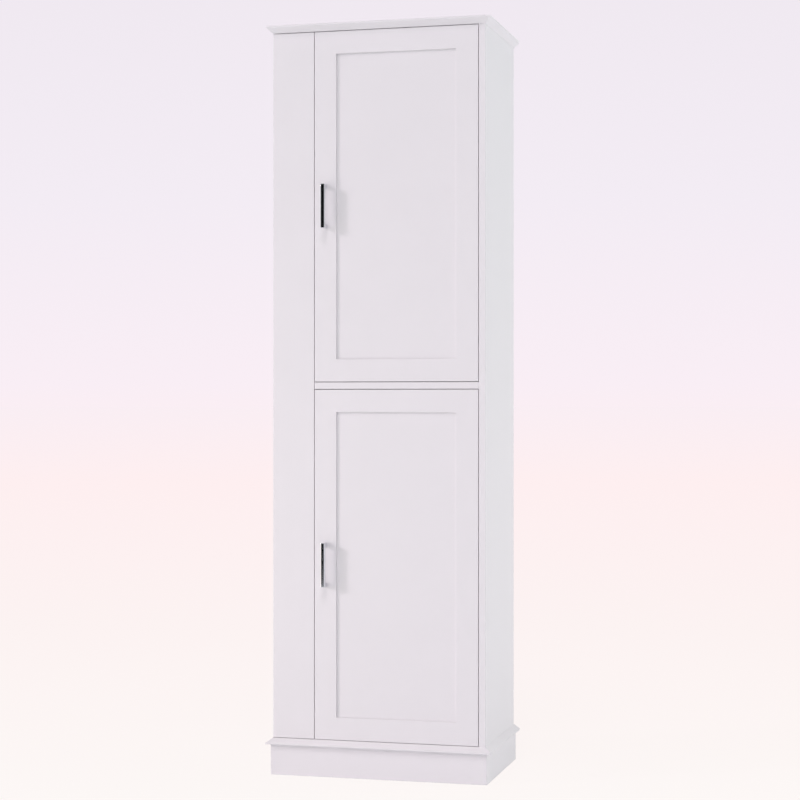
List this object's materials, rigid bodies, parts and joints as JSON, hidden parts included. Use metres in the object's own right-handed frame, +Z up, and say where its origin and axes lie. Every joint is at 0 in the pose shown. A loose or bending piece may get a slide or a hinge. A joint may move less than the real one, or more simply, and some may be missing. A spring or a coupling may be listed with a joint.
{
  "type": "pantry cabinet",
  "caption": "Tall white pantry cabinet with two inset frame-and-panel doors hinged on the right beside a wide fixed board, square bar handles, shelves and a moulded plinth.",
  "frame": {"origin": "middle of the footprint on the floor, handles included in the depth", "axes": "+Z up, -Y out of the front where the doors and handles are, +X to the viewer's right as the front is seen, the side that the doors are hinged on"},
  "size_m": [0.554, 0.365, 1.802],
  "materials": {
    "white_paint": "satin white lacquer on medium-density fibreboard",
    "white_hardboard": "white-faced hardboard",
    "chrome_plate": "polished chrome plate",
    "nickel_steel": "nickel-plated steel",
    "white_nylon": "moulded white nylon",
    "beech": "bare beech"
  },
  "bodies": {
    "carcass": {"side_panel_left": "white_paint", "side_panel_right": "white_paint", "front_stile": "white_paint", "top_board": "white_paint", "bottom_panel": "white_paint", "fixed_shelf": "white_paint", "upper_shelf_1": "white_paint", "upper_shelf_2": "white_paint", "lower_shelf_1": "white_paint", "lower_shelf_2": "white_paint", "upper_shelf_pins": "nickel_steel", "lower_shelf_pins": "nickel_steel", "back_panel_upper": "white_hardboard", "back_panel_lower": "white_hardboard", "back_nails": "nickel_steel", "plinth_front": "white_paint", "plinth_left": "white_paint", "plinth_right": "white_paint", "plinth_rear": "white_paint", "cap_front": "white_paint", "cap_left": "white_paint", "cap_right": "white_paint", "corner_blocks": "beech", "dowels": "beech", "cam_locks": "nickel_steel", "cam_bolts": "nickel_steel", "wall_bracket": "nickel_steel", "bracket_screws": "nickel_steel", "door_stops": "white_nylon", "stop_screws": "nickel_steel", "hinge_plates": "nickel_steel", "hinge_arms": "nickel_steel", "hinge_pins": "nickel_steel", "arm_screws": "nickel_steel", "plate_screws": "nickel_steel"},
    "upper_door": {"upper_hinge_stile": "white_paint", "upper_handle_stile": "white_paint", "upper_top_rail": "white_paint", "upper_bottom_rail": "white_paint", "upper_door_panel": "white_paint", "upper_hinge_cups": "nickel_steel", "upper_cup_screws": "nickel_steel", "upper_handle": "chrome_plate", "upper_handle_screws": "nickel_steel"},
    "lower_door": {"lower_hinge_stile": "white_paint", "lower_handle_stile": "white_paint", "lower_top_rail": "white_paint", "lower_bottom_rail": "white_paint", "lower_door_panel": "white_paint", "lower_hinge_cups": "nickel_steel", "lower_cup_screws": "nickel_steel", "lower_handle": "chrome_plate", "lower_handle_screws": "nickel_steel"},
    "upper_links": {"upper_hinge_links": "nickel_steel"},
    "lower_links": {"lower_hinge_links": "nickel_steel"}
  },
  "joints": [
    {"name": "upper_door_hinge", "type": "hinge", "parent": "carcass", "child": "upper_door", "pos_m": [0.234, -0.1535, 1.36462], "axis": [0, 0, 1], "range_deg": [0, 105]},
    {"name": "upper_link_pivot", "type": "hinge", "parent": "carcass", "child": "upper_links", "pos_m": [0.21, -0.1455, 1.36462], "axis": [0, 0, 1], "range_deg": [-22.9, 0]},
    {"name": "lower_door_hinge", "type": "hinge", "parent": "carcass", "child": "lower_door", "pos_m": [0.234, -0.1535, 0.50787], "axis": [0, 0, 1], "range_deg": [0, 105]},
    {"name": "lower_link_pivot", "type": "hinge", "parent": "carcass", "child": "lower_links", "pos_m": [0.21, -0.1455, 0.50787], "axis": [0, 0, 1], "range_deg": [-22.9, 0]}
  ],
  "couplings": [
    {"joint": "upper_link_pivot", "follows": "upper_door_hinge", "ratio": -0.2176},
    {"joint": "lower_link_pivot", "follows": "lower_door_hinge", "ratio": -0.2176}
  ]
}
